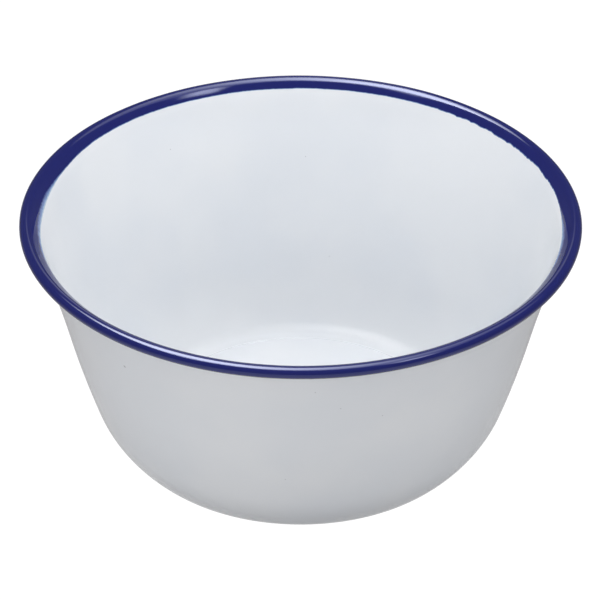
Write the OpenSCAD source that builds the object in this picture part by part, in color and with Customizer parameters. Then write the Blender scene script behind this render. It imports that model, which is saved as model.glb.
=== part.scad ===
// Enamel basin: a round bowl pressed from one steel sheet, with its edge rolled into a bead,
// a dark ground coat and a white cover coat of enamel on both faces, and a blue coat on the rim.
// The origin is the middle of the base on the table, and +Z is the axis of the bowl.
// Radii of the sheet's bends are measured to the middle of its thickness.

/* [Overall size] */
// Diameter over the rolled rim
rim_d = 160; // [140:1:200]
// Height from the table to the top of the rim
basin_h = 74.2; // [60:0.1:95]

/* [Foot and base] */
// Outer diameter of the flat ring that the basin stands on
foot_d = 93.6; // [70:0.2:105]
// Width of the flat ring
foot_w = 2; // [1:0.1:4]
// Height by which the middle of the base is pressed up
panel_rise = 0.9; // [0.4:0.1:1.8]
// Radius of the bend round the edge of the pressed-up middle
panel_edge_r = 1.8; // [1.2:0.1:4]
// Radius of the bend from that edge down to the flat ring
groove_r = 2.4; // [1.2:0.1:5]

/* [Wall] */
// Radius of the tight bend where the foot turns up into the side
heel_r = 6.4; // [4:0.2:12]
// Slope at which the tight bend gives way to the belly
heel_angle = 44; // [30:1:55]
// Radius of the belly, between the heel and the wall
belly_r = 34.2; // [24:0.2:44]
// Angle by which the wall leaves the belly flatter than a straight wall would, to bow out from there
wall_bow_angle = 2.4; // [0.4:0.1:5]
// Angle by which it comes to the throat flatter than a straight wall would, to flare
wall_flare_angle = 2.6; // [0.4:0.1:6]
// Radius of the throat, the wide bend by which the wall turns out under the lip
throat_r = 11; // [6:0.5:16]

/* [Rolled rim] */
// Diameter of the bead over its enamel
bead_d = 3.5; // [3.4:0.1:6]
// Slope at which the throat gives way to the lip
lip_slope = 47; // [36:1:58]
// Radius of the lip, the tight bend that carries the throat over into the bead
lip_r = 1.7; // [1.5:0.1:6]
// Gap between the rolled-in end of the sheet and the wall
curl_gap = 0.3; // [0.15:0.05:0.5]

/* [Sheet and enamel] */
// Thickness of the steel sheet
steel_t = 0.5; // [0.4:0.05:0.7]
// Thickness of the ground coat on each face
ground_t = 0.12; // [0.06:0.01:0.16]
// Thickness of the white coat on each face
white_t = 0.2; // [0.1:0.01:0.28]
// Thickness of the blue coat
blue_t = 0.12; // [0.06:0.01:0.2]

/* [Blue rim] */
// Length of throat that the blue covers below the lip, inside the bowl
blue_drop = 2.4; // [0.6:0.1:4.4]
// Share of the bead's rolled-in part that the blue covers, past the bottom of the bead
blue_under_share = 0.8; // [0.1:0.05:1]

/* [Hidden] */
$fn = 180;

// Greatest distance between a bend and the straight facets that draw its section
facet_sag = 0.008;
// Facets round the end of the sheet, and round each edge of the blue coat
end_facets = 10;
// Step in which the curl is rolled on until it meets its clearance
curl_step_angle = 0.5;

// Distance from the middle of the sheet to the outside of each layer
half_steel = steel_t / 2;
half_ground = half_steel + ground_t;
half_white = half_ground + white_t;
half_blue = half_white + blue_t;

// Pressed-up middle of the base and the ring that it stands on
foot_z = half_white;
foot_out_r = foot_d / 2;
foot_in_r = foot_out_r - foot_w;
panel_bend_angle = acos(1 - panel_rise / (panel_edge_r + groove_r));
panel_r = foot_in_r - (panel_edge_r + groove_r) * sin(panel_bend_angle);
panel_z = foot_z + panel_rise;
panel_edge_centre = [panel_r, panel_z - panel_edge_r];
groove_centre = [foot_in_r, foot_z + groove_r];

// Bead, and the lip whose bend meets it at the top
curl_r = bead_d / 2 - half_blue;
curl_centre = [rim_d / 2 - bead_d / 2, basin_h - bead_d / 2];
lip_centre = curl_centre - [0, lip_r - curl_r];
throat_centre = lip_centre + (throat_r - lip_r) * facing_out(lip_slope);
// The middle of the curled sheet stays this far from the middle of the wall
curl_clearance = 2 * half_white + curl_gap;

// Heel and belly
heel_centre = [foot_out_r, foot_z + heel_r];
belly_centre = heel_centre + (heel_r - belly_r) * facing_out(heel_angle);

// Slope of the straight line that would touch the belly and the throat, with one on each side of it
span = throat_centre - belly_centre;
straight_l = sqrt(pow(norm(span), 2) - pow(belly_r + throat_r, 2));
straight_angle = atan2(span[1], span[0]) + atan2(belly_r + throat_r, straight_l);

// The wall leaves the belly at one slope and comes to the throat at another
belly_angle = straight_angle - wall_bow_angle;
throat_angle = straight_angle - wall_flare_angle;
wall_foot = belly_centre + belly_r * facing_out(belly_angle);
wall_head = throat_centre - throat_r * facing_out(throat_angle);

// Two arcs of one radius join them: the lower bows out and the upper flares.
// The radius is the one that sets their centres two radii apart.
wall_chord = wall_head - wall_foot;
facing_sum = facing_out(belly_angle) + facing_out(throat_angle);
chord_lean = wall_chord * facing_sum;
wall_arc_r = pow(norm(wall_chord), 2)
    / (sqrt(pow(chord_lean, 2) + (4 - facing_sum * facing_sum) * pow(norm(wall_chord), 2)) - chord_lean);
bow_centre = wall_foot - wall_arc_r * facing_out(belly_angle);
flare_centre = wall_head + wall_arc_r * facing_out(throat_angle);
steepest_angle = atan2(flare_centre[0] - bow_centre[0], bow_centre[1] - flare_centre[1]);

// The blue stays on the throat, however far it is asked to drop
throat_l = throat_r * (throat_angle - lip_slope) * PI / 180;
blue_share = min(blue_drop / throat_l, 1);

// Direction of the end of the curl, where it meets its clearance
curl_end_angle = curl_end(-90);

// Bends of the sheet from the base up to the lip, as centre, radius, first direction and last direction.
// Straight stretches lie before the panel's edge and before the heel.
PANEL_EDGE = [panel_edge_centre, panel_edge_r, 90, 90 - panel_bend_angle];
GROOVE = [groove_centre, groove_r, -90 - panel_bend_angle, -90];
HEEL = [heel_centre, heel_r, -90, heel_angle - 90];
BELLY = [belly_centre, belly_r, heel_angle - 90, belly_angle - 90];
BOW = [bow_centre, wall_arc_r, belly_angle - 90, steepest_angle - 90];
FLARE = [flare_centre, wall_arc_r, steepest_angle + 90, throat_angle + 90];
THROAT = [throat_centre, throat_r, throat_angle + 90, lip_slope + 90];
LIP = [lip_centre, lip_r, lip_slope + 90, 90];
BEAD_OUT = [curl_centre, curl_r, 90, -90];
BEAD_IN = [curl_centre, curl_r, -90, curl_end_angle];

// Direction from the sheet to the outside of the bowl where the wall has this slope
function facing_out(slope) = [sin(slope), -cos(slope)];

function direction(angle) = [cos(angle), sin(angle)];

// Distance between the middle of the sheet at a direction on the curl and its middle at the lip or throat
function curl_to_wall(angle) =
    let (end = curl_centre + curl_r * direction(angle))
    (end - lip_centre) * direction(lip_slope) > 0
        ? lip_r - norm(end - lip_centre)
        : throat_r - norm(end - throat_centre);

// Rolls the curl on from a direction, step by step, while the next step keeps its clearance
function curl_end(angle) =
    curl_to_wall(angle - curl_step_angle) < curl_clearance ? angle : curl_end(angle - curl_step_angle);

// Facets that keep a bend within facet_sag of its arc, an even number so that its middle is a corner
function facets(bend) = 2 * ceil(abs(bend[3] - bend[2]) / (4 * acos(1 - facet_sag / bend[1])));

// Points along a bend, moved by this distance from the middle of the sheet towards the inside of the bowl
function along(bend, shift) =
    let (radius = bend[1] - sign(bend[3] - bend[2]) * shift, n = facets(bend))
    [for (i = [0:n]) bend[0] + radius * direction(bend[2] + (bend[3] - bend[2]) * i / n)];

// The same without its first point, for a bend that goes on from the one before
function onward(bend, shift) = let (points = along(bend, shift)) [for (i = [1:len(points) - 1]) points[i]];

function reversed(points) = [for (i = [len(points) - 1:-1:0]) points[i]];

// Point at a share of the way through a row of points, counted in facets
function part_way(points, share) =
    let (place = share * (len(points) - 1), i = min(floor(place), len(points) - 2))
    points[i] + (place - i) * (points[i + 1] - points[i]);

// Stretch of a row of points between two shares of it
function stretch(points, first_share, last_share) =
    let (n = len(points) - 1)
    concat(
        [part_way(points, first_share)],
        [for (i = [0:n]) if (i > first_share * n && i < last_share * n) points[i]],
        [part_way(points, last_share)]
    );

// Half circle that rounds an end, clockwise from one corner to the other and without the corners
function round_end(first_corner, last_corner) =
    let (arm = (first_corner - last_corner) / 2, start = atan2(arm[1], arm[0]))
    [for (i = [1:end_facets - 1])
        (first_corner + last_corner) / 2 + norm(arm) * direction(start - 180 * i / end_facets)];

// One face of a layer, from the axis to the rolled-in end of the sheet
function face(shift) = concat(
    [[0, panel_z + shift]],
    along(PANEL_EDGE, shift), onward(GROOVE, shift),
    along(HEEL, shift), onward(BELLY, shift), onward(BOW, shift), onward(FLARE, shift),
    onward(THROAT, shift), onward(LIP, shift), onward(BEAD_OUT, shift), onward(BEAD_IN, shift)
);

// Outline of everything within this distance of the middle of the sheet, from the axis and back to it
function outline(half) =
    let (inside = face(half), outside = reversed(face(-half)))
    concat(inside, round_end(inside[len(inside) - 1], outside[0]), outside);

// One face of the blue coat, from its edge on the throat to its edge under the bead
function blue_face(shift) = concat(
    stretch(along(THROAT, shift), 1 - blue_share, 1),
    onward(LIP, shift), onward(BEAD_OUT, shift),
    stretch(onward(BEAD_IN, shift), 0, blue_under_share)
);

// Coat over both faces of the sheet and round its end, between two distances from the middle
module coat(inner_half, outer_half) {
    rotate_extrude() polygon(concat(outline(outer_half), reversed(outline(inner_half))));
}

// Pressed steel sheet: raised middle, foot ring, heel, belly, wall, throat, lip and rolled bead
module steel_body() {
    color("#8b8f94") rotate_extrude() polygon(outline(half_steel));
}

// Dark ground coat that bonds the enamel to the steel
module ground_coat() {
    color("#20242b") coat(half_steel, half_ground);
}

// White cover coat
module white_coat() {
    color("#e6e9ec") coat(half_ground, half_white);
}

// Blue coat from the throat over the lip and round the bead, with rounded edges
module blue_rim() {
    outer = blue_face(half_blue);
    inner = reversed(blue_face(half_white));
    color("#1e2463") rotate_extrude() polygon(concat(
        outer, round_end(outer[len(outer) - 1], inner[0]),
        inner, round_end(inner[len(inner) - 1], outer[0])
    ));
}

steel_body();
ground_coat();
white_coat();
blue_rim();
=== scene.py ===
"""Looks of an enamel basin: white enamel inside and out, and a deep blue coat on the rolled rim.

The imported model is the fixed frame. This script builds the two coats that show as smooth revolved
skins in the same place, dresses the steel and the ground coat that lie under them, and sets up a
pale floor, soft studio light and the camera. Lengths are in metres, and MM turns millimetres into them.
"""

import logging
import math
from dataclasses import dataclass, field
from enum import Enum
from functools import cached_property

import bmesh
import bpy
from mathutils import Matrix, Vector, noise

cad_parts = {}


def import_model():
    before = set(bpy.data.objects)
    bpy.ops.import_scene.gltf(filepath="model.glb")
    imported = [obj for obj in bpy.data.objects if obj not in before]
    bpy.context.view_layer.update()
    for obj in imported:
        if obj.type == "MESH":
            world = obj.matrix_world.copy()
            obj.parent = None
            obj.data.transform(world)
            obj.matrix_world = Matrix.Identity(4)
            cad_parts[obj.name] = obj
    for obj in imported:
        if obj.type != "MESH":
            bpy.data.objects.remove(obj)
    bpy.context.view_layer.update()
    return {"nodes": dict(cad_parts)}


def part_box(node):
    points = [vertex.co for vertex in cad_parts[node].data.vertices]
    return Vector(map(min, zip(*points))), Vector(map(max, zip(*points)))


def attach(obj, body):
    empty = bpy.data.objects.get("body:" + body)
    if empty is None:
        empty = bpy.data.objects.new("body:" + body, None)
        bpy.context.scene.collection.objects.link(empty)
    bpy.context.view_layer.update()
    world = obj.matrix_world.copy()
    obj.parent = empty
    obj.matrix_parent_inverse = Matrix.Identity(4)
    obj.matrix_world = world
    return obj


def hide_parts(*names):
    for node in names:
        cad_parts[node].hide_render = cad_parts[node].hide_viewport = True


LOG = logging.getLogger("enamel_basin")

MM = 0.001
BODY = "root"
# Vertex layers of the blue coat that its finish reads
THICKNESS_LAYER = "coat_thickness"
GLOSS_LAYER = "coat_gloss"

Colour = tuple[float, float, float]
Socket = bpy.types.NodeSocket


class Layer(Enum):
    """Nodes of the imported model, from the inside of the sheet outwards."""

    STEEL = "steel_body"
    GROUND = "ground_coat"
    WHITE = "white_coat"
    BLUE = "blue_rim"


class Slot(Enum):
    """Material slots of the record, one for each of the two built coats."""

    WHITE = "white_enamel"
    BLUE = "blue_enamel"


class Reach(Enum):
    """What a lamp acts on: only glossy reflections, or only matt shading."""

    GLOSS = "gloss"
    SHADING = "shading"


# Sizes and sections


def facing_out(slope: float) -> Vector:
    """Direction from the sheet to the outside of the bowl where the wall has this slope."""
    return Vector((math.sin(slope), 0.0, -math.cos(slope)))


def section_direction(angle: float) -> Vector:
    """Unit vector in the section plane, at this angle above the radial direction."""
    return Vector((math.cos(angle), 0.0, math.sin(angle)))


def radial_direction(azimuth: float) -> Vector:
    """Level unit vector away from the axis, at this angle from +X towards +Y."""
    return Vector((math.cos(azimuth), math.sin(azimuth), 0.0))


def folded(place: Vector, radial: Vector) -> Vector:
    """Turns a place that lies in this direction from the axis into the section plane."""
    return Vector((place.dot(radial), 0.0, place.z))


def unfolded(flat: Vector, radial: Vector) -> Vector:
    """Turns a place in the section plane out into this direction from the axis."""
    return radial * flat.x + Vector((0.0, 0.0, flat.z))


def smooth_step(value: float) -> float:
    """Eased value from 0 to 1, flat at both ends."""
    value = min(max(value, 0.0), 1.0)
    return value * value * (3.0 - 2.0 * value)


@dataclass(frozen=True)
class Bend:
    """One bend of the sheet, to the middle of its thickness.

    The sheet goes from direction first to direction last, both seen from the centre.
    """

    centre: Vector
    radius: float
    first: float
    last: float

    @property
    def turn(self) -> float:
        """Signed angle of the bend."""
        return self.last - self.first

    def point(self, share: float, shift: float) -> Vector:
        """Point at a share of the bend.

        Args:
            share: From 0 at the start of the bend to 1 at its end.
            shift: Distance from the middle of the sheet towards the inside of the bowl.

        Returns:
            The point, in the section plane.
        """
        radius = self.radius - math.copysign(1.0, self.turn) * shift
        return self.centre + radius * section_direction(self.first + share * self.turn)


@dataclass(frozen=True)
class SheetForm:
    """Form of the pressed sheet, with bends measured to the middle of its thickness.

    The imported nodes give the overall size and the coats' thicknesses. Their boxes don't show how thick
    the steel itself is, so that is given here.
    """

    rim_radius: float
    height: float
    ground_thickness: float
    white_thickness: float
    blue_thickness: float
    steel_thickness: float = 0.5 * MM
    foot_radius: float = 46.8 * MM
    foot_width: float = 2.0 * MM
    panel_rise: float = 0.9 * MM
    panel_edge_radius: float = 1.8 * MM
    groove_radius: float = 2.4 * MM
    heel_radius: float = 6.4 * MM
    heel_slope: float = math.radians(44.0)
    belly_radius: float = 34.2 * MM
    wall_bow: float = math.radians(2.4)
    wall_flare: float = math.radians(2.6)
    throat_radius: float = 11.0 * MM
    lip_slope: float = math.radians(47.0)
    lip_radius: float = 1.7 * MM
    bead_radius: float = 1.75 * MM
    curl_gap: float = 0.3 * MM
    curl_step: float = math.radians(0.5)

    @classmethod
    def from_frame(cls) -> "SheetForm":
        """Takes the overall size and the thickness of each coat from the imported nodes.

        Returns:
            The form.
        """
        tops = {layer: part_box(layer.value)[1] for layer in Layer}
        grounds = {layer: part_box(layer.value)[0] for layer in Layer}
        blue_top, white_top = tops[Layer.BLUE], tops[Layer.WHITE]
        return cls(
            rim_radius=blue_top.y,
            height=blue_top.z,
            ground_thickness=grounds[Layer.STEEL].z - grounds[Layer.GROUND].z,
            white_thickness=grounds[Layer.GROUND].z - grounds[Layer.WHITE].z,
            blue_thickness=blue_top.z - white_top.z,
        )

    @property
    def half_ground(self) -> float:
        """Middle of the sheet to the outside of the ground coat."""
        return self.steel_thickness / 2 + self.ground_thickness

    @property
    def half_white(self) -> float:
        """Middle of the sheet to the outside of the white coat."""
        return self.half_ground + self.white_thickness

    @property
    def half_blue(self) -> float:
        """Middle of the sheet to the outside of the blue coat."""
        return self.half_white + self.blue_thickness

    @property
    def panel_height(self) -> float:
        """Height of the middle of the sheet in the raised middle of the base."""
        return self.half_white + self.panel_rise

    def curl_end(self, curl: Vector, curl_radius: float, lip: Vector, throat: Vector) -> float:
        """Direction where the curl meets its clearance to the lip or the throat.

        Args:
            curl: Centre of the curl.
            curl_radius: Radius of the curl.
            lip: Centre of the lip's bend.
            throat: Centre of the throat's bend.

        Returns:
            The last direction of the curl that keeps its clearance.
        """
        clearance = 2 * self.half_white + self.curl_gap
        angle = -math.pi / 2
        while True:
            end = curl + curl_radius * section_direction(angle - self.curl_step)
            if (end - lip).dot(section_direction(self.lip_slope)) > 0.0:
                room = self.lip_radius - (end - lip).length
            else:
                room = self.throat_radius - (end - throat).length
            if room < clearance:
                return angle
            angle -= self.curl_step

    @cached_property
    def bends(self) -> dict[str, Bend]:
        """Bends of the sheet.

        Returns:
            Every bend by name, in order from the middle of the base to the rolled-in end.
        """
        quarter = math.pi / 2
        edge_sum = self.panel_edge_radius + self.groove_radius
        panel_bend = math.acos(1.0 - self.panel_rise / edge_sum)
        foot_inner = self.foot_radius - self.foot_width
        panel_radius = foot_inner - edge_sum * math.sin(panel_bend)
        panel_edge = Vector((panel_radius, 0.0, self.panel_height - self.panel_edge_radius))
        groove = Vector((foot_inner, 0.0, self.half_white + self.groove_radius))

        curl_radius = self.bead_radius - self.half_blue
        curl = Vector((self.rim_radius - self.bead_radius, 0.0, self.height - self.bead_radius))
        lip = curl - Vector((0.0, 0.0, self.lip_radius - curl_radius))
        throat = lip + (self.throat_radius - self.lip_radius) * facing_out(self.lip_slope)

        heel = Vector((self.foot_radius, 0.0, self.half_white + self.heel_radius))
        belly = heel + (self.heel_radius - self.belly_radius) * facing_out(self.heel_slope)
        span = throat - belly
        both = self.belly_radius + self.throat_radius
        straight = math.atan2(span.z, span.x) + math.atan2(both, math.sqrt(span.length_squared - both**2))

        low_slope = straight - self.wall_bow
        high_slope = straight - self.wall_flare
        wall_foot = belly + self.belly_radius * facing_out(low_slope)
        wall_head = throat - self.throat_radius * facing_out(high_slope)
        chord = wall_head - wall_foot
        facing_sum = facing_out(low_slope) + facing_out(high_slope)
        lean = chord.dot(facing_sum)
        root = math.sqrt(lean**2 + (4.0 - facing_sum.length_squared) * chord.length_squared)
        arc_radius = chord.length_squared / (root - lean)
        bow = wall_foot - arc_radius * facing_out(low_slope)
        flare = wall_head + arc_radius * facing_out(high_slope)
        steepest = math.atan2(flare.x - bow.x, bow.z - flare.z)
        curl_end = self.curl_end(curl, curl_radius, lip, throat)
        return {
            "panel_edge": Bend(panel_edge, self.panel_edge_radius, quarter, quarter - panel_bend),
            "groove": Bend(groove, self.groove_radius, -quarter - panel_bend, -quarter),
            "heel": Bend(heel, self.heel_radius, -quarter, self.heel_slope - quarter),
            "belly": Bend(belly, self.belly_radius, self.heel_slope - quarter, low_slope - quarter),
            "bow": Bend(bow, arc_radius, low_slope - quarter, steepest - quarter),
            "flare": Bend(flare, arc_radius, steepest + quarter, high_slope + quarter),
            "throat": Bend(throat, self.throat_radius, high_slope + quarter, self.lip_slope + quarter),
            "lip": Bend(lip, self.lip_radius, self.lip_slope + quarter, quarter),
            "bead_out": Bend(curl, curl_radius, quarter, -quarter),
            "bead_in": Bend(curl, curl_radius, -quarter, curl_end),
        }


class SectionPen:
    """Draws a section in the XZ plane as a wire, by extruding and spinning one vertex."""

    SAME_PLACE = 0.001 * MM
    WELD = 0.0005 * MM

    def __init__(self, start: Vector) -> None:
        """Starts the wire.

        Args:
            start: First point of the section.
        """
        self.start = start
        self.mesh = bmesh.new()
        self.tip = self.mesh.verts.new(start)

    def line_to(self, point: Vector, steps: int = 1) -> None:
        """Draws a straight run.

        Args:
            point: Where the run ends.
            steps: Number of edges in the run.
        """
        stride = (point - self.tip.co) / steps
        for _ in range(steps):
            made = bmesh.ops.extrude_vert_indiv(self.mesh, verts=[self.tip])
            self.tip = made["verts"][0]
            self.tip.co += stride

    def arc(self, centre: Vector, turn: float, steps: int) -> None:
        """Draws an arc from the tip, by spinning it.

        Args:
            centre: Centre of the arc.
            turn: Signed angle, counter-clockwise in the section.
            steps: Number of edges in the arc.
        """
        made = bmesh.ops.spin(
            self.mesh,
            geom=[self.tip],
            cent=centre,
            axis=(0.0, -1.0, 0.0),
            angle=turn,
            steps=steps,
            use_merge=False,
            use_duplicate=False,
        )
        self.tip = next(item for item in made["geom_last"] if isinstance(item, bmesh.types.BMVert))

    def along(self, bend: Bend, shift: float, steps: int, backwards: bool = False) -> None:
        """Draws one face of a bend, with a run to its start where the tip isn't there.

        Args:
            bend: Bend of the sheet.
            shift: Distance from the middle of the sheet towards the inside of the bowl.
            steps: Number of edges in the bend.
            backwards: Whether the bend is drawn from its end to its start.
        """
        start = bend.point(1.0 if backwards else 0.0, shift)
        if (start - self.tip.co).length > self.SAME_PLACE:
            self.line_to(start)
        self.arc(bend.centre, -bend.turn if backwards else bend.turn, steps)

    def round_end(self, corner: Vector, steps: int) -> None:
        """Draws a half circle from the tip to a corner, clockwise."""
        self.arc((self.tip.co + corner) / 2, -math.pi, steps)

    def close(self) -> None:
        """Joins the tip to the first point of the section."""
        first = min(self.mesh.verts, key=lambda vert: (vert.co - self.start).length)
        self.mesh.edges.new((self.tip, first))

    def revolve(self, steps: int) -> bmesh.types.BMesh:
        """Spins the section into a closed skin with its faces outwards.

        Args:
            steps: Number of segments round the axis.

        Returns:
            The mesh, which belongs to the caller.
        """
        bmesh.ops.spin(
            self.mesh,
            geom=list(self.mesh.verts) + list(self.mesh.edges),
            cent=(0.0, 0.0, 0.0),
            axis=(0.0, 0.0, 1.0),
            angle=math.tau,
            steps=steps,
            use_merge=True,
            use_duplicate=False,
        )
        bmesh.ops.remove_doubles(self.mesh, verts=list(self.mesh.verts), dist=self.WELD)
        bmesh.ops.recalc_face_normals(self.mesh, faces=list(self.mesh.faces))
        return self.mesh


def new_object(mesh: bmesh.types.BMesh, name: str, material: bpy.types.Material) -> bpy.types.Object:
    """Turns a mesh into an object of the scene.

    Args:
        mesh: Finished mesh, which is freed here.
        name: Name of the object.
        material: Finish of the object.

    Returns:
        The object.
    """
    data = bpy.data.meshes.new(name)
    mesh.to_mesh(data)
    mesh.free()
    data.materials.append(material)
    made = bpy.data.objects.new(name, data)
    bpy.context.scene.collection.objects.link(made)
    return made


# Enamel's unevenness


@dataclass(frozen=True)
class FiredSurface:
    """Slow unevenness that pressing and firing leave in the sheet and its enamel.

    On both sides of the basin the lip is turned out a little further, so the throat stands in there.
    Its depths are measured down from the top of the rim.
    """

    top: float
    long_wave: float = 26.0 * MM
    long_height: float = 0.045 * MM
    short_wave: float = 9.0 * MM
    short_height: float = 0.012 * MM
    short_offset: tuple[float, float, float] = (7.0, 3.0, 5.0)
    flat_below: float = 0.4 * MM
    full_above: float = 4.0 * MM
    stand_in: float = 0.30 * MM
    stand_in_from: float = 0.2 * MM
    stand_in_full: float = 3.4 * MM
    stand_in_end: float = 15.0 * MM
    stand_in_sides: tuple[float, float] = (0.55, 0.92)
    stand_in_front: float = 0.6
    front_from: float = 0.5
    looks_inwards: float = -0.3

    def lift(self, place: Vector) -> float:
        """Height of the surface above its true form.

        Args:
            place: Place on the basin.

        Returns:
            The height, which is nothing on the foot.
        """
        long_part = noise.noise(place / self.long_wave) * self.long_height
        short_part = noise.noise(place / self.short_wave + Vector(self.short_offset)) * self.short_height
        share = smooth_step((place.z - self.flat_below) / (self.full_above - self.flat_below))
        return (long_part + short_part) * share

    def throat_lift(self, place: Vector, normal: Vector) -> float:
        """How far the throat stands in.

        Args:
            place: Place on the basin.
            normal: Direction that the surface faces there.

        Returns:
            The distance, which is nothing on faces that look outwards.
        """
        radial = Vector((place.x, place.y, 0.0)).normalized()
        if normal.dot(radial) > self.looks_inwards:
            return 0.0
        low, high = self.stand_in_sides
        side = smooth_step((abs(radial.x) - low) / (high - low))
        side *= 1.0 + self.stand_in_front * smooth_step(-radial.y / self.front_from)
        depth = self.top - place.z
        rise = smooth_step((depth - self.stand_in_from) / (self.stand_in_full - self.stand_in_from))
        fall = smooth_step((depth - self.stand_in_full) / (self.stand_in_end - self.stand_in_full))
        return self.stand_in * side * rise * (1.0 - fall)

    def apply(self, mesh: bmesh.types.BMesh) -> None:
        """Moves every vertex along its normal by the unevenness at its place.

        Args:
            mesh: Skin that gets it.
        """
        mesh.normal_update()
        moves = [
            (vert, vert.normal * (self.lift(vert.co) + self.throat_lift(vert.co, vert.normal)))
            for vert in mesh.verts
        ]
        for vert, move in moves:
            vert.co += move


# Shader building


@dataclass(frozen=True)
class Mottle:
    """Noise of about one wavelength, cut off and stretched between a low and a high value."""

    wave: float
    low: float = 0.3
    high: float = 0.7
    detail: float = 2.0


class Graph:
    """A node tree with short calls for adding and joining nodes.

    The constants are the places of the sockets of a Mix node that mixes colours.
    """

    MIX_SHARE = 0
    MIX_LOW = 6
    MIX_HIGH = 7
    MIX_RESULT = 2

    def __init__(self, tree: bpy.types.NodeTree) -> None:
        """Wraps the node tree of a material, a lamp, a world or a node group."""
        self.tree = tree

    def add(self, kind: str, **settings: object) -> bpy.types.Node:
        """Adds a node.

        Args:
            kind: Type of the node.
            settings: Properties of the node and their values.

        Returns:
            The node.
        """
        node = self.tree.nodes.new(kind)
        for name, value in settings.items():
            setattr(node, name, value)
        return node

    def join(self, source: Socket, target: Socket) -> None:
        """Links two sockets."""
        self.tree.links.new(source, target)

    def feed(self, target: Socket, value: object) -> None:
        """Links a socket, or sets a constant on it.

        Args:
            target: Socket that takes the value.
            value: Socket, number, vector or colour.
        """
        if isinstance(value, Socket):
            self.join(value, target)
        elif target.type == "RGBA":
            target.default_value = (*value, 1.0)
        else:
            target.default_value = value

    def calc(self, operation: str, *values: object, clamp: bool = False) -> Socket:
        """Adds a Math node.

        Args:
            operation: What it does.
            values: Numbers or sockets that it works on.
            clamp: Whether the result is kept from 0 to 1.

        Returns:
            The result.
        """
        node = self.add("ShaderNodeMath", operation=operation, use_clamp=clamp)
        for socket, value in zip(node.inputs, values):
            self.feed(socket, value)
        return node.outputs[0]

    def vector(self, operation: str, *values: object) -> Socket:
        """Adds a Vector Math node.

        Args:
            operation: What it does.
            values: Vectors or sockets that it works on.

        Returns:
            The result, which is a number for a distance and a vector otherwise.
        """
        node = self.add("ShaderNodeVectorMath", operation=operation)
        for socket, value in zip(node.inputs, values):
            self.feed(socket, value)
        return node.outputs["Value" if operation == "DISTANCE" else "Vector"]

    def axes(self, source: Socket) -> dict[str, Socket]:
        """Splits a vector.

        Args:
            source: The vector.

        Returns:
            Its X, Y and Z by name.
        """
        node = self.add("ShaderNodeSeparateXYZ")
        self.join(source, node.inputs[0])
        return {socket.name: socket for socket in node.outputs}

    def blend(self, share: object, low: object, high: object) -> Socket:
        """Mixes two colours.

        Args:
            share: Share of the second colour.
            low: First colour.
            high: Second colour.

        Returns:
            The mixed colour.
        """
        node = self.add("ShaderNodeMix", data_type="RGBA")
        self.feed(node.inputs[self.MIX_SHARE], share)
        self.feed(node.inputs[self.MIX_LOW], low)
        self.feed(node.inputs[self.MIX_HIGH], high)
        return node.outputs[self.MIX_RESULT]

    def spread(self, value: object, *bounds: float, eased: bool = True) -> Socket:
        """Maps a value from one range to another.

        Args:
            value: Value or socket to map.
            bounds: Lowest and highest value in, then lowest and highest value out.
            eased: Whether the ends are eased.

        Returns:
            The mapped value.
        """
        node = self.add("ShaderNodeMapRange", interpolation_type="SMOOTHSTEP" if eased else "LINEAR")
        self.feed(node.inputs["Value"], value)
        for name, bound in zip(("From Min", "From Max", "To Min", "To Max"), bounds):
            node.inputs[name].default_value = bound
        return node.outputs["Result"]


class MaterialGraph(Graph):
    """Node tree of a new material, with a Principled shader and the object coordinates."""

    def __init__(self, name: str) -> None:
        """Makes the material.

        Args:
            name: Name of the material.
        """
        self.material = bpy.data.materials.new(name)
        self.material.use_nodes = True
        super().__init__(self.material.node_tree)
        self.tree.nodes.clear()
        self.shader = self.add("ShaderNodeBsdfPrincipled")
        self.output = self.add("ShaderNodeOutputMaterial")
        self.join(self.shader.outputs[0], self.output.inputs[0])
        self.place = self.add("ShaderNodeTexCoord").outputs["Object"]

    def dress(self, **values: object) -> None:
        """Feeds inputs of the shader, whose names have underscores for spaces here."""
        for name, value in values.items():
            self.feed(self.shader.inputs[name.replace("_", " ")], value)

    def mottle(self, pattern: Mottle, least: float = 0.0, most: float = 1.0) -> Socket:
        """Adds noise on the object coordinates.

        Args:
            pattern: Kind of noise.
            least: Value where the noise is at its low value or under it.
            most: Value where the noise is at its high value or over it.

        Returns:
            The noise, mapped to that range.
        """
        texture = self.add("ShaderNodeTexNoise")
        self.join(self.place, texture.inputs["Vector"])
        texture.inputs["Scale"].default_value = 1.0 / pattern.wave
        texture.inputs["Detail"].default_value = pattern.detail
        return self.spread(texture.outputs["Fac"], pattern.low, pattern.high, least, most)

    def attribute(self, name: str) -> Socket:
        """Value of a vertex layer."""
        return self.add("ShaderNodeAttribute", attribute_name=name).outputs["Fac"]

    def use(self, group: bpy.types.NodeTree, **values: float) -> Socket:
        """Places a node group on the object coordinates.

        Args:
            group: Group to place.
            values: Inputs that aren't left at their usual values, with underscores for spaces.

        Returns:
            What the group puts out.
        """
        node = self.add("ShaderNodeGroup", node_tree=group)
        self.join(self.place, node.inputs["Place"])
        for name, value in values.items():
            node.inputs[name.replace("_", " ")].default_value = value
        return node.outputs[0]

    def bump(self, height: Socket, depth: float) -> None:
        """Gives the shader a relief.

        Args:
            height: Relief, from 0 to 1.
            depth: Real depth of a relief of 1.
        """
        node = self.add("ShaderNodeBump")
        node.inputs["Strength"].default_value = 1.0
        node.inputs["Distance"].default_value = depth
        self.join(height, node.inputs["Height"])
        self.join(node.outputs[0], self.shader.inputs["Normal"])


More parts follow.
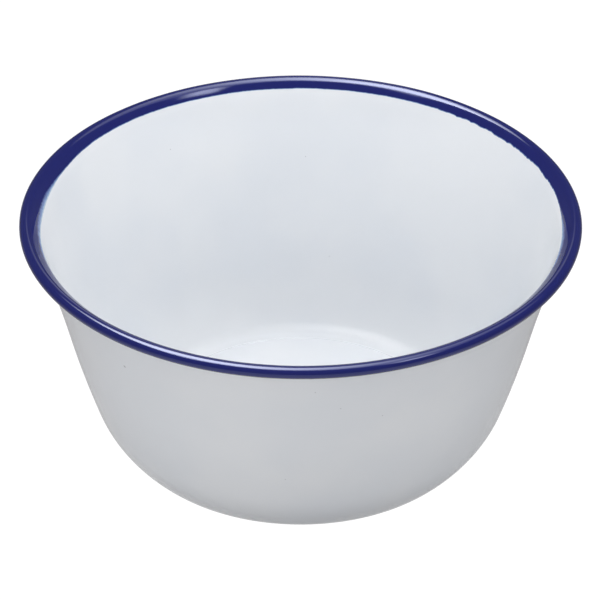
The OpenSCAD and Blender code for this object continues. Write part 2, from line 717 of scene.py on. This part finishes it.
def new_group(name: str, inputs: dict[str, float], output: str) -> tuple[Graph, dict[str, Socket], Socket]:
    """Makes a shader node group that follows a Place and puts out one value.

    Args:
        name: Name of the group.
        inputs: Its other inputs and their usual values.
        output: Name of the value.

    Returns:
        The group's graph, its inputs by name and the socket that takes its value.
    """
    tree = bpy.data.node_groups.new(name, "ShaderNodeTree")
    tree.interface.new_socket("Place", in_out="INPUT", socket_type="NodeSocketVector")
    for key, value in inputs.items():
        socket = tree.interface.new_socket(key, in_out="INPUT", socket_type="NodeSocketFloat")
        socket.default_value = value
    tree.interface.new_socket(output, in_out="OUTPUT", socket_type="NodeSocketFloat")
    graph = Graph(tree)
    sources = {socket.name: socket for socket in graph.add("NodeGroupInput").outputs}
    return graph, sources, graph.add("NodeGroupOutput").inputs[output]


def glaze_relief_group() -> bpy.types.NodeTree:
    """Relief of a fired glaze: orange peel and a slower roll, as a height.

    Returns:
        The node group.
    """
    usual = {"Peel Scale": 700.0, "Peel": 0.35, "Roll Scale": 160.0, "Roll": 0.65, "Detail": 1.0}
    graph, source, target = new_group("glaze_relief", usual, "Height")
    parts = []
    for part in ("Peel", "Roll"):
        texture = graph.add("ShaderNodeTexNoise")
        graph.join(source["Place"], texture.inputs["Vector"])
        graph.join(source[f"{part} Scale"], texture.inputs["Scale"])
        graph.join(source["Detail"], texture.inputs["Detail"])
        parts.append(graph.calc("MULTIPLY", texture.outputs["Fac"], source[part]))
    graph.join(graph.calc("ADD", *parts), target)
    return graph.tree


def pinhole_group() -> bpy.types.NodeTree:
    """Scattered pinholes, as a mask that is 1 in a pinhole.

    Sharpness says how fast a pinhole's edge goes from clear to dark, per cell of the scatter.

    Returns:
        The node group.
    """
    usual = {"Scale": 42.0, "Radius": 0.016, "Rarity": 0.93, "Sharpness": 260.0}
    graph, source, target = new_group("pinholes", usual, "Mask")
    cells = graph.add("ShaderNodeTexVoronoi", feature="F1")
    graph.join(source["Place"], cells.inputs["Vector"])
    graph.join(source["Scale"], cells.inputs["Scale"])
    lottery = graph.add("ShaderNodeSeparateColor")
    graph.join(cells.outputs["Color"], lottery.inputs[0])
    drawn = graph.calc("GREATER_THAN", lottery.outputs[0], source["Rarity"])
    size = graph.calc("MULTIPLY", lottery.outputs[1], source["Radius"])
    inside = graph.calc("SUBTRACT", size, cells.outputs["Distance"])
    sharp = graph.calc("MULTIPLY", inside, source["Sharpness"], clamp=True)
    graph.join(graph.calc("MULTIPLY", drawn, sharp), target)
    return graph.tree


@dataclass
class Kit:
    """Node groups of the finishes, each built once."""

    relief: bpy.types.NodeTree = field(default_factory=glaze_relief_group)
    pinholes: bpy.types.NodeTree = field(default_factory=pinhole_group)


# Finishes


@dataclass(frozen=True)
class Speck:
    """A dark speck in the white, with its angle round the axis in degrees and the rest in millimetres."""

    azimuth: float
    height: float
    radius: float = 0.22

    def place(self, girth: float) -> tuple[float, float, float]:
        """Place of the speck on a cylinder of this radius round the axis."""
        radial = girth * radial_direction(math.radians(self.azimuth))
        return radial.x, radial.y, self.height * MM


@dataclass(frozen=True)
class WhiteEnamel:
    """White cover coat with faint clouds, specks, less shine on the base and a rubbed foot."""

    body: Colour = (0.790, 0.808, 0.832)
    cloud: Colour = (0.760, 0.784, 0.818)
    clouds: Mottle = Mottle(32.0 * MM, 0.35, 0.65)
    rubbed: Colour = (0.42, 0.42, 0.43)
    scuffs: Mottle = Mottle(1.6 * MM, 0.48, 0.62, 4.0)
    most_rubbed: float = 0.6
    rubbed_below: float = 0.15 * MM
    rubbed_roughness: float = 0.5
    roughness: float = 0.07
    rougher_by: float = 0.035
    unevenness: Mottle = Mottle(14.0 * MM)
    ior: float = 1.52
    gloss: float = 0.5
    base_gloss: float = 0.06
    base_below: float = 8.0 * MM
    wall_above: float = 34.0 * MM
    relief_depth: float = 0.012 * MM
    speck: Colour = (0.10, 0.10, 0.11)
    speck_darkness: float = 0.4
    scattered_share: float = 0.4
    speck_core: float = 0.4
    girth: float = 70.0 * MM
    specks: tuple[Speck, ...] = (
        Speck(-132.3, 56.9, 0.55),
        Speck(-86.8, 62.4),
        Speck(-81.1, 55.2),
        Speck(-71.2, 49.9),
        Speck(-93.6, 26.5),
        Speck(88.8, 51.4),
        Speck(81.6, 20.8),
        Speck(123.6, 59.5),
    )

    def speck_mask(self, graph: MaterialGraph) -> Socket:
        """Draws the placed specks, on places that are all brought to one distance from the axis.

        Args:
            graph: Graph of the material.

        Returns:
            A mask that is 1 in the core of each speck.
        """
        ring = graph.vector("NORMALIZE", graph.vector("MULTIPLY", graph.place, (1.0, 1.0, 0.0)))
        upright = graph.vector("MULTIPLY", graph.place, (0.0, 0.0, 1.0))
        rolled = graph.vector("MULTIPLY_ADD", ring, (self.girth, self.girth, 0.0), upright)
        mask = 0.0
        for speck in self.specks:
            gap = graph.vector("DISTANCE", rolled, speck.place(self.girth))
            radius = speck.radius * MM
            mask = graph.calc("MAXIMUM", mask, graph.spread(gap, self.speck_core * radius, radius, 1.0, 0.0))
        return mask

    def material(self, kit: Kit) -> bpy.types.Material:
        """Builds the material.

        Args:
            kit: Shared node groups.

        Returns:
            The material.
        """
        graph = MaterialGraph("white_enamel")
        colour = graph.blend(graph.mottle(self.clouds), self.body, self.cloud)
        scattered = graph.calc("MULTIPLY", graph.use(kit.pinholes), self.scattered_share)
        specks = graph.calc("MAXIMUM", scattered, self.speck_mask(graph))
        colour = graph.blend(graph.calc("MULTIPLY", specks, self.speck_darkness), colour, self.speck)

        height = graph.axes(graph.place)["Z"]
        low = graph.spread(height, 0.0, self.rubbed_below, 1.0, 0.0)
        rub = graph.calc("MULTIPLY", low, graph.mottle(self.scuffs, most=self.most_rubbed))
        uneven = graph.mottle(self.unevenness, self.roughness, self.roughness + self.rougher_by)
        shine = graph.spread(height, self.base_below, self.wall_above, self.base_gloss, self.gloss)
        graph.dress(
            Base_Color=graph.blend(rub, colour, self.rubbed),
            Roughness=graph.calc("ADD", uneven, graph.calc("MULTIPLY", rub, self.rubbed_roughness)),
            Specular_IOR_Level=shine,
            IOR=self.ior,
        )
        graph.bump(graph.calc("SUBTRACT", graph.use(kit.relief), specks), self.relief_depth)
        return graph.material


@dataclass(frozen=True)
class BlueEnamel:
    """Deep blue coat that turns pale and clear where it thins out over the white.

    Each tone is a share of the full thickness and the colour that the coat has there.
    """

    tones: tuple[tuple[float, Colour], ...] = (
        (0.05, (0.60, 0.73, 0.86)),
        (0.38, (0.15, 0.25, 0.47)),
        (0.64, (0.085, 0.13, 0.33)),
        (0.88, (0.0120, 0.0155, 0.122)),
    )
    raggedness: Mottle = Mottle(1.1 * MM, 0.0, 1.0)
    ragged_by: float = 0.12
    sheen: Colour = (0.74, 0.79, 1.0)
    ior: float = 1.54
    gloss: float = 0.5
    roughness: float = 0.05
    rougher_by: float = 0.04
    unevenness: Mottle = Mottle(9.0 * MM)
    relief_depth: float = 0.012 * MM

    def colour(self, graph: MaterialGraph) -> Socket:
        """Colour of the coat by its thickness, which is a little ragged.

        Args:
            graph: Graph of the material.

        Returns:
            The colour.
        """
        ragged = graph.mottle(self.raggedness, -self.ragged_by, self.ragged_by)
        ramp = graph.add("ShaderNodeValToRGB")
        graph.join(graph.calc("ADD", graph.attribute(THICKNESS_LAYER), ragged), ramp.inputs[0])
        first, *between, last = self.tones
        stops = ramp.color_ramp.elements
        for stop, (position, colour) in zip((stops[0], stops[1]), (first, last)):
            stop.position = position
            stop.color = (*colour, 1.0)
        for position, colour in between:
            stops.new(position).color = (*colour, 1.0)
        return ramp.outputs[0]

    def material(self, kit: Kit) -> bpy.types.Material:
        """Builds the material.

        Args:
            kit: Shared node groups.

        Returns:
            The material.
        """
        graph = MaterialGraph("blue_enamel")
        graph.dress(
            Base_Color=self.colour(graph),
            Roughness=graph.mottle(self.unevenness, self.roughness, self.roughness + self.rougher_by),
            Specular_IOR_Level=graph.calc("MULTIPLY", graph.attribute(GLOSS_LAYER), self.gloss),
            Specular_Tint=self.sheen,
            IOR=self.ior,
        )
        graph.bump(graph.use(kit.relief, Peel_Scale=900.0, Roll_Scale=240.0), self.relief_depth)
        return graph.material


@dataclass(frozen=True)
class GroundEnamel:
    """Dark ground coat under the white, finely mottled."""

    dark: Colour = (0.010, 0.012, 0.018)
    fleck: Colour = (0.045, 0.05, 0.07)
    flecks: Mottle = Mottle(1.2 * MM, 0.45, 0.7, 5.0)
    roughness: float = 0.22
    fleck_roughness: float = 0.4
    relief_depth: float = 0.01 * MM

    def material(self, kit: Kit) -> bpy.types.Material:
        """Builds the material.

        Args:
            kit: Shared node groups.

        Returns:
            The material.
        """
        graph = MaterialGraph("ground_enamel")
        flecks = graph.mottle(self.flecks)
        graph.dress(
            Base_Color=graph.blend(flecks, self.dark, self.fleck),
            Roughness=graph.spread(flecks, 0.0, 1.0, self.roughness, self.fleck_roughness),
        )
        graph.bump(graph.use(kit.relief), self.relief_depth)
        return graph.material


@dataclass(frozen=True)
class PickledSteel:
    """Pressed sheet, dulled by the acid bath that it has before it is enamelled."""

    light: Colour = (0.52, 0.53, 0.55)
    dark: Colour = (0.33, 0.34, 0.36)
    stains: Mottle = Mottle(7.0 * MM, 0.35, 0.7, 5.0)
    roughness: float = 0.38
    stain_roughness: float = 0.55
    relief_depth: float = 0.006 * MM

    def material(self, kit: Kit) -> bpy.types.Material:
        """Builds the material.

        Args:
            kit: Shared node groups.

        Returns:
            The material.
        """
        graph = MaterialGraph("pickled_steel")
        stains = graph.mottle(self.stains)
        graph.dress(
            Base_Color=graph.blend(stains, self.light, self.dark),
            Roughness=graph.spread(stains, 0.0, 1.0, self.roughness, self.stain_roughness),
            Metallic=1.0,
        )
        graph.bump(graph.use(kit.relief, Peel_Scale=1800.0, Peel=0.8, Roll=0.2), self.relief_depth)
        return graph.material


# Sub-assemblies


@dataclass
class SteelAndGround:
    """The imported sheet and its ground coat, which keep their shapes and get their finishes."""

    nodes: dict[str, bpy.types.Object]
    steel: PickledSteel = PickledSteel()
    ground: GroundEnamel = GroundEnamel()

    def dress(self, kit: Kit) -> list[bpy.types.Object]:
        """Gives both nodes their materials.

        Args:
            kit: Shared node groups.

        Returns:
            The dressed nodes.
        """
        dressed = []
        for layer, finish in ((Layer.STEEL, self.steel), (Layer.GROUND, self.ground)):
            piece = self.nodes[layer.value]
            piece.data.materials.clear()
            piece.data.materials.append(finish.material(kit))
            dressed.append(piece)
        return dressed


@dataclass
class RevolvedCoat:
    """What the two coats that show have in common: the sheet's form and its unevenness."""

    form: SheetForm
    surface: FiredSurface

    def finished(
        self, mesh: bmesh.types.BMesh, name: str, replaced: Layer, slot: Slot, material: bpy.types.Material
    ) -> bpy.types.Object:
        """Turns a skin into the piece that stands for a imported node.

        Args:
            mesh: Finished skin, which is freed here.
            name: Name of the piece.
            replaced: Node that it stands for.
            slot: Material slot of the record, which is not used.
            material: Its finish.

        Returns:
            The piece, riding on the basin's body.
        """
        for face in mesh.faces:
            face.smooth = True
        piece = new_object(mesh, name, material)
        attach(piece, BODY)
        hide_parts(replaced.value)
        return piece


@dataclass
class WhiteCoat(RevolvedCoat):
    """White skin over both faces of the sheet and round its rolled-in end.

    The steps of the bends follow the order that the form gives them in.
    """

    finish: WhiteEnamel = WhiteEnamel()
    around: int = 240
    hidden_around: int = 96
    hidden_coarseness: int = 2
    base_steps: int = 8
    bend_steps: tuple[int, ...] = (10, 8, 10, 14, 8, 8, 14, 12, 24, 8)
    end_steps: int = 10

    def skin(self, half: float, around: int, coarseness: int = 1) -> bmesh.types.BMesh:
        """Revolves everything within a distance of the middle of the sheet.

        Args:
            half: Distance from the middle of the sheet.
            around: Segments round the axis.
            coarseness: Number that the steps of each bend are divided by.

        Returns:
            A closed skin with its faces outwards.
        """
        height = self.form.panel_height
        bends = list(self.form.bends.values())
        steps = [count // coarseness for count in self.bend_steps]
        pen = SectionPen(Vector((0.0, 0.0, height + half)))
        pen.line_to(bends[0].point(0.0, half), self.base_steps)
        for bend, count in zip(bends, steps):
            pen.along(bend, half, count)
        pen.round_end(bends[-1].point(1.0, -half), self.end_steps // coarseness)
        for bend, count in zip(reversed(bends), reversed(steps)):
            pen.along(bend, -half, count, backwards=True)
        pen.line_to(Vector((0.0, 0.0, height - half)), self.base_steps)
        return pen.revolve(around)

    def build(self, kit: Kit) -> bpy.types.Object:
        """Builds the coat: its outside, and the hidden side that lies on the ground coat.

        Args:
            kit: Shared node groups.

        Returns:
            The finished piece.
        """
        skin = self.skin(self.form.half_white, self.around)
        self.surface.apply(skin)
        hidden = self.skin(self.form.half_ground, self.hidden_around, self.hidden_coarseness)
        bmesh.ops.reverse_faces(hidden, faces=list(hidden.faces))
        spare = bpy.data.meshes.new("hidden_side")
        hidden.to_mesh(spare)
        hidden.free()
        skin.from_mesh(spare)
        bpy.data.meshes.remove(spare)
        return self.finished(skin, "white_enamel_coat", Layer.WHITE, Slot.WHITE, self.finish.material(kit))


@dataclass(frozen=True)
class DippedEdge:
    """Edge that dipping leaves inside the bowl, as lengths of throat below the lip.

    The rim went deeper into the blue at the front. There the coat runs out in a pale film, and at the
    back it stops short. Angles round the rim go from +X towards +Y. A pitch is how many waves the edge
    has in one radian, and an offset picks another stretch of the noise.
    """

    back_drop: float = 2.32 * MM
    right_drop: float = 1.5 * MM
    left_drop: float = 2.05 * MM
    right_from: float = math.radians(18.0)
    right_to: float = math.radians(-14.0)
    left_from: float = math.radians(140.0)
    left_to: float = math.radians(182.0)
    back_feather: float = 0.35 * MM
    front_feather: float = 2.4 * MM
    feather_delay: float = 0.35
    wander: float = 0.10 * MM
    wander_pitch: float = 7.0
    wander_offset: tuple[float, float, float] = (3.1, 0.0, 1.7)
    teeth: float = 0.24 * MM
    teeth_waves: tuple[tuple[float, tuple[float, float, float]], ...] = (
        (34.0, (0.0, 8.2, 4.4)),
        (90.0, (5.5, 1.3, 9.9)),
    )
    teeth_from: float = math.radians(4.0)
    teeth_to: float = math.radians(62.0)
    teeth_ease: float = 0.2
    teeth_elsewhere: float = 0.25
    dulling: float = 0.85
    dull_length: float = 0.7 * MM
    dull_from: float = 0.02
    dull_full: float = -0.16

    def gloss(self, back: float, below: float) -> float:
        """Share of its gloss that the coat keeps.

        Args:
            back: How far back the place lies, from -1 at the front to 1 at the back.
            below: Length below the lip, or above it where negative.

        Returns:
            The share.
        """
        in_front = smooth_step((self.dull_from - back) / (self.dull_from - self.dull_full))
        return 1.0 - self.dulling * in_front * smooth_step(1.0 + below / self.dull_length)

    @staticmethod
    def wrapped(azimuth: float) -> float:
        """The same angle, counted from -90 degrees up to 270."""
        return (azimuth + math.pi / 2) % math.tau - math.pi / 2

    def sides(self, azimuth: float) -> tuple[float, float]:
        """How far a place on the rim is out of the back.

        Args:
            azimuth: Angle round the rim.

        Returns:
            A share towards the right and one towards the left, from 0 to 1.
        """
        azimuth = self.wrapped(azimuth)
        right = smooth_step((self.right_from - azimuth) / (self.right_from - self.right_to))
        left = smooth_step((azimuth - self.left_from) / (self.left_to - self.left_from))
        return right, left

    def drop(self, azimuth: float) -> float:
        """Depth of the edge below the lip.

        Args:
            azimuth: Angle round the rim.

        Returns:
            The depth, along the throat.
        """
        right, left = self.sides(azimuth)
        azimuth = self.wrapped(azimuth)
        ring = radial_direction(azimuth)
        leftward = smooth_step((1.0 - ring.x) / 2)
        side_drop = self.right_drop + (self.left_drop - self.right_drop) * leftward
        depth = self.back_drop + max(right, left) * side_drop
        depth += noise.noise(ring * self.wander_pitch + Vector(self.wander_offset)) * self.wander
        rise = smooth_step((azimuth - self.teeth_from) / self.teeth_ease)
        fall = smooth_step((self.teeth_to - azimuth) / self.teeth_ease)
        share = self.teeth_elsewhere + (1.0 - self.teeth_elsewhere) * rise * fall
        for pitch, offset in self.teeth_waves:
            depth += noise.noise(ring * pitch + Vector(offset)) * self.teeth * share
        return depth

    def feather(self, azimuth: float) -> float:
        """Length over which the coat thins out.

        Args:
            azimuth: Angle round the rim.

        Returns:
            The length, along the throat.
        """
        outward = max(self.sides(azimuth))
        late = smooth_step((outward - self.feather_delay) / (1.0 - self.feather_delay))
        return self.back_feather + (self.front_feather - self.back_feather) * late


@dataclass
class BlueCoat(RevolvedCoat):
    """Blue coat from the throat over the lip and round the bead, with a hand-dipped edge that thins out.

    The steps of both faces run from the edge on the throat to the edge under the bead. Places whose
    angles round the axis agree to angle_digits decimals share one depth of the dipped edge.
    """

    finish: BlueEnamel = BlueEnamel()
    edge: DippedEdge = DippedEdge()
    around: int = 720
    outer_steps: tuple[int, ...] = (20, 14, 22, 4)
    inner_steps: tuple[int, ...] = (20, 8, 10, 3)
    plain_drop: float = 2.4 * MM
    under_share: float = 0.80
    under_feather: float = 0.7 * MM
    edge_thickness_share: float = 0.12
    angle_digits: int = 5

    def build(self, kit: Kit) -> bpy.types.Object:
        """Builds the coat.

        Args:
            kit: Shared node groups.

        Returns:
            The finished piece.
        """
        throat, lip, bead_out, bead_in = (
            self.form.bends[name] for name in ("throat", "lip", "bead_out", "bead_in")
        )
        dipped_first = throat.last + self.plain_drop / throat.radius
        dipped = Bend(throat.centre, throat.radius, dipped_first, throat.last)
        under_last = bead_in.first + bead_in.turn * self.under_share
        under = Bend(bead_in.centre, bead_in.radius, bead_in.first, under_last)
        bends = (dipped, lip, bead_out, under)
        inner, outer = self.form.half_white, self.form.half_blue
        pen = SectionPen(dipped.point(0.0, outer))
        for bend, steps in zip(bends, self.outer_steps):
            pen.along(bend, outer, steps)
        pen.line_to(under.point(1.0, inner))
        for bend, steps in zip(reversed(bends), reversed(self.inner_steps)):
            pen.along(bend, inner, steps, backwards=True)
        pen.close()
        mesh = pen.revolve(self.around)
        layers = mesh.verts.layers.float
        for name in (THICKNESS_LAYER, GLOSS_LAYER):
            layers.new(name)
        self.shape_dipped_edge(mesh, layers[THICKNESS_LAYER], layers[GLOSS_LAYER], dipped)
        self.shape_under_edge(mesh, layers[THICKNESS_LAYER], under)
        self.surface.apply(mesh)
        return self.finished(mesh, "blue_enamel_rim", Layer.BLUE, Slot.BLUE, self.finish.material(kit))

    def is_outside(self, arm: Vector, inner_radius: float) -> bool:
        """Whether a place lies on the outside of the coat, and not on the white under it."""
        return arm.length - inner_radius > self.form.blue_thickness / 2

    def thinned(self, share: float) -> float:
        """Height of the coat over the white.

        Args:
            share: Share of the way into its feathered edge.

        Returns:
            The height, which runs out in a rounded way.
        """
        share = min(max(share, 0.0), 1.0)
        rounded = math.sqrt(1.0 - (1.0 - share) ** 2)
        thick = self.edge_thickness_share + (1.0 - self.edge_thickness_share) * rounded
        return self.form.blue_thickness * thick

    def shape_dipped_edge(
        self,
        mesh: bmesh.types.BMesh,
        thickness: bmesh.types.BMLayerItem,
        gloss: bmesh.types.BMLayerItem,
        dipped: Bend,
    ) -> None:
        """Moves the part of the coat on the throat to its dipped edge, and thins it out towards that edge.

        Args:
            mesh: The revolved coat.
            thickness: Vertex layer that gets the coat's thickness, from 0 to 1.
            gloss: Vertex layer that gets the coat's gloss, from 0 to 1.
            dipped: The part of the throat's bend that the coat covers.
        """
        inner_radius = dipped.radius + self.form.half_white
        lip = self.form.bends["lip"]
        known: dict[float, tuple[float, float]] = {}
        for vert in mesh.verts:
            vert[thickness] = 1.0
            vert[gloss] = 1.0
            azimuth = round(math.atan2(vert.co.y, vert.co.x), self.angle_digits)
            radial = radial_direction(azimuth)
            flat = folded(vert.co, radial)
            from_lip = flat - lip.centre
            if from_lip.x >= 0.0:
                continue
            if from_lip.z > 0.0:
                above = (lip.first - math.atan2(from_lip.z, from_lip.x)) * from_lip.length
                vert[gloss] = self.edge.gloss(radial.y, -above)
            if from_lip.dot(section_direction(lip.first - math.pi / 2)) > 0.0:
                continue
            if azimuth not in known:
                known[azimuth] = (self.edge.drop(azimuth), self.edge.feather(azimuth))
            drop, feather = known[azimuth]
            arm = flat - dipped.centre
            below = drop * (math.atan2(arm.z, arm.x) % math.tau - dipped.last) / -dipped.turn
            height = self.thinned((drop - below) / feather) if self.is_outside(arm, inner_radius) else 0.0
            angle = dipped.last + below / inner_radius
            vert[thickness] = min(1.0, (drop - below) / feather)
            vert[gloss] = self.edge.gloss(radial.y, below)
            vert.co = unfolded(dipped.centre + (inner_radius + height) * section_direction(angle), radial)

    def shape_under_edge(
        self, mesh: bmesh.types.BMesh, thickness: bmesh.types.BMLayerItem, under: Bend
    ) -> None:
        """Thins the coat out towards its edge under the bead.

        Args:
            mesh: The revolved coat.
            thickness: Vertex layer that holds the coat's thickness, from 0 to 1.
            under: The part of the bead's rolled-in bend that the coat covers.
        """
        inner_radius = under.radius + self.form.half_white
        for vert in mesh.verts:
            radial = radial_direction(math.atan2(vert.co.y, vert.co.x))
            arm = folded(vert.co, radial) - under.centre
            if arm.z >= 0.0 or arm.length > inner_radius + 2 * self.form.blue_thickness:
                continue
            angle = math.atan2(arm.z, arm.x)
            share = (angle - under.last) * inner_radius / self.under_feather
            if share >= 1.0:
                continue
            vert[thickness] = max(0.0, share)
            if self.is_outside(arm, inner_radius):
                radius = inner_radius + self.thinned(share)
                vert.co = unfolded(under.centre + radius * section_direction(angle), radial)


# Studio


@dataclass(frozen=True)
class Softbox:
    """A rectangular lamp, brightest at its hot spot and dimmer towards its edges.

    The hot spot and the plateau round it are shares of the lamp's width and height.
    """

    name: str
    place: tuple[float, float, float]
    size: tuple[float, float]
    radiance: float
    hot_spot: tuple[float, float] = (0.5, 0.5)
    plateau: float = 0.4
    fade: tuple[float, float] = (1.0, 1.0)
    level: bool = False
    reach: Reach = Reach.SHADING

    def build(self, target: Vector) -> None:
        """Makes the lamp, facing straight down or aimed at a point.

        Args:
            target: Point that a lamp that isn't level looks at.
        """
        data = bpy.data.lights.new(self.name, "AREA")
        data.shape = "RECTANGLE"
        data.size, data.size_y = self.size
        data.energy = self.radiance * math.pi * self.size[0] * self.size[1]
        data.use_nodes = True
        graph = Graph(data.node_tree)
        axes = graph.axes(graph.add("ShaderNodeNewGeometry").outputs["Parametric"])
        shares = []
        for axis, hot, fade in zip(("X", "Y"), self.hot_spot, self.fade):
            rise = graph.spread(axes[axis], 0.0, hot - self.plateau, 0.0, 1.0)
            fall = graph.spread(axes[axis], hot + self.plateau, 1.0, 1.0, 0.0, eased=False)
            shares.append(graph.calc("MULTIPLY", rise, graph.calc("POWER", fall, fade)))
        graph.join(graph.calc("MULTIPLY", *shares), data.node_tree.nodes["Emission"].inputs["Strength"])
        lamp = bpy.data.objects.new(self.name, data)
        lamp.location = self.place
        lamp.visible_glossy = self.reach is Reach.GLOSS
        lamp.visible_diffuse = self.reach is Reach.SHADING
        if not self.level:
            lamp.rotation_euler = (target - lamp.location).to_track_quat("-Z", "Y").to_euler()
        bpy.context.scene.collection.objects.link(lamp)


@dataclass
class Studio:
    """Pale floor, soft light and the camera at the photograph's angle.

    The image's width and the shifts of the rim's middle from the middle of the image are in pixels.
    Glossy rays see a darker sky and floor, and a glow on the floor in front of the basin.
    """

    form: SheetForm
    image_width: float = 600.0
    camera_distance: float = 960.0 * MM
    camera_elevation: float = math.radians(31.88)
    camera_roll: float = math.radians(0.187)
    rim_shift_right: float = 0.38
    rim_shift_up: float = 82.98
    pixels_per_metre: float = 3509.2
    sensor: float = 36.0
    floor_size: float = 14.0
    floor_colour: Colour = (0.28, 0.28, 0.29)
    floor_grain: Mottle = Mottle(60.0 * MM)
    most_grain: float = 0.15
    grain_shade: float = 0.97
    floor_roughness: float = 0.8
    floor_glow: float = 1.16
    floor_shadow: float = 0.12
    mirrored_floor: Colour = (0.16, 0.15, 0.16)
    mirrored_glow: float = 0.75
    mirrored_spot: tuple[float, float, float] = (0.0, -250.0 * MM, 0.0)
    mirrored_near: float = 120.0 * MM
    mirrored_far: float = 420.0 * MM
    sky_colour: Colour = (0.98, 0.99, 1.0)
    sky_strength: float = 0.2
    mirrored_sky: float = 0.15
    lamps: tuple[Softbox, ...] = (
        Softbox(
            "ceiling_gleam", (-0.03, 0.14, 1.0), (1.50, 1.30), 16.5, (0.28, 0.5), 0.13, (2.9, 1.2),
            level=True, reach=Reach.GLOSS,
        ),
        Softbox("ceiling_wash", (0.0, 0.14, 1.01), (1.70, 1.34), 1.2, level=True, reach=Reach.GLOSS),
        Softbox(
            "ceiling_key", (-0.05, 0.10, 1.0), (1.40, 1.25), 1.3, (0.26, 0.5), 0.12, (2.6, 1.2), level=True
        ),
        Softbox("ceiling_fill", (0.0, 0.45, 1.3), (2.2, 1.8), 2.6, plateau=0.2, level=True),
        Softbox("front_fill", (-0.1, -1.15, 0.8), (0.9, 0.9), 0.9),
        Softbox("low_front_fill", (-0.2, -1.2, 0.4), (0.9, 0.6), 3.6),
        Softbox("right_front_fill", (0.75, -0.85, 0.75), (0.9, 0.9), 1.1),
        Softbox("left_fill", (-1.15, -0.3, 0.4), (0.9, 0.9), 1.5),
        Softbox("right_fill", (1.15, 0.0, 0.6), (0.9, 0.9), 1.7),
        Softbox("window", (0.49, -0.38, 0.79), (0.30, 0.34), 8.0, plateau=0.12, reach=Reach.GLOSS),
        Softbox("backdrop_glow", (0.0, 1.1, 0.52), (0.24, 0.44), 0.8, plateau=0.3, reach=Reach.GLOSS),
    )

    def camera(self) -> None:
        """Sets the camera so that the middle of the rim lands where the photograph has it."""
        rim = Vector((0.0, 0.0, self.form.height - self.form.bead_radius))
        back = Vector((0.0, -math.cos(self.camera_elevation), math.sin(self.camera_elevation)))
        focal = self.pixels_per_metre * self.camera_distance
        forward, right = -back, Vector((1.0, 0.0, 0.0))
        yaw = Matrix.Rotation(math.atan2(self.rim_shift_right, focal), 3, right.cross(forward))
        forward, right = yaw @ forward, yaw @ right
        pitch = Matrix.Rotation(-math.atan2(self.rim_shift_up, focal), 3, right)
        forward = pitch @ forward
        up = right.cross(forward)
        roll = Matrix.Rotation(-self.camera_roll, 3, forward)
        turned = Matrix((roll @ right, roll @ up, -forward)).transposed().to_4x4()

        data = bpy.data.cameras.new("camera")
        data.sensor_width = self.sensor
        data.lens = focal * self.sensor / self.image_width
        camera = bpy.data.objects.new("camera", data)
        camera.matrix_world = Matrix.Translation(rim + back * self.camera_distance) @ turned
        bpy.context.scene.collection.objects.link(camera)
        bpy.context.scene.camera = camera

    def floor(self) -> None:
        """Lays a pale matt floor that the basin stands on."""
        mesh = bmesh.new()
        bmesh.ops.create_grid(mesh, x_segments=1, y_segments=1, size=self.floor_size / 2)
        floor = new_object(mesh, "floor", self.floor_material())

    def floor_material(self) -> bpy.types.Material:
        """Matt paper that the camera sees as white, and reflections as bright only in front of the basin.

        Returns:
            The material.
        """
        graph = MaterialGraph("pale_floor")
        darker = tuple(self.grain_shade * part for part in self.floor_colour)
        paper = graph.blend(graph.mottle(self.floor_grain, most=self.most_grain), self.floor_colour, darker)
        ray = graph.add("ShaderNodeLightPath").outputs
        graph.dress(
            Base_Color=graph.blend(ray["Is Glossy Ray"], paper, self.mirrored_floor),
            Roughness=self.floor_roughness,
        )
        glow = graph.add("ShaderNodeEmission")
        glow.inputs["Strength"].default_value = self.floor_glow
        from_spot = graph.vector("DISTANCE", graph.place, self.mirrored_spot)
        near = graph.spread(from_spot, self.mirrored_near, self.mirrored_far, self.mirrored_glow, 0.0)
        seen = graph.calc("MULTIPLY", ray["Is Camera Ray"], 1.0 - self.floor_shadow)
        mirrored = graph.calc("MULTIPLY", ray["Is Glossy Ray"], near)
        lit = graph.add("ShaderNodeMixShader")
        graph.join(graph.calc("ADD", seen, mirrored), lit.inputs[0])
        graph.join(graph.shader.outputs[0], lit.inputs[1])
        graph.join(glow.outputs[0], lit.inputs[2])
        graph.join(lit.outputs[0], graph.output.inputs[0])
        return graph.material

    def light(self) -> None:
        """Sets the sky, the softboxes and a view that keeps whites white."""
        world = bpy.data.worlds.new("studio")
        world.use_nodes = True
        sky = world.node_tree.nodes["Background"]
        sky.inputs["Color"].default_value = (*self.sky_colour, 1.0)
        graph = Graph(world.node_tree)
        glossy = graph.add("ShaderNodeLightPath").outputs["Is Glossy Ray"]
        strength = graph.spread(glossy, 0.0, 1.0, self.sky_strength, self.mirrored_sky, eased=False)
        graph.join(strength, sky.inputs["Strength"])
        bpy.context.scene.world = world
        bpy.context.scene.view_settings.view_transform = "Standard"
        for lamp in self.lamps:
            lamp.build(Vector((0.0, 0.0, self.form.height / 2)))


def main() -> None:
    """Builds the basin and the studio."""
    logging.basicConfig(level=logging.INFO, format="%(name)s: %(message)s")
    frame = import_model()
    form = SheetForm.from_frame()
    surface = FiredSurface(form.height)
    kit = Kit()

    studio = Studio(form)
    studio.camera()
    for piece in SteelAndGround(frame["nodes"]).dress(kit):
        LOG.info("%s keeps its packed shape, %d faces", piece.name, len(piece.data.polygons))
    for part in (WhiteCoat(form, surface), BlueCoat(form, surface)):
        piece = part.build(kit)
        LOG.info("%s built, %d faces", piece.name, len(piece.data.polygons))
    studio.floor()
    studio.light()


if __name__ == "__main__":
    main()
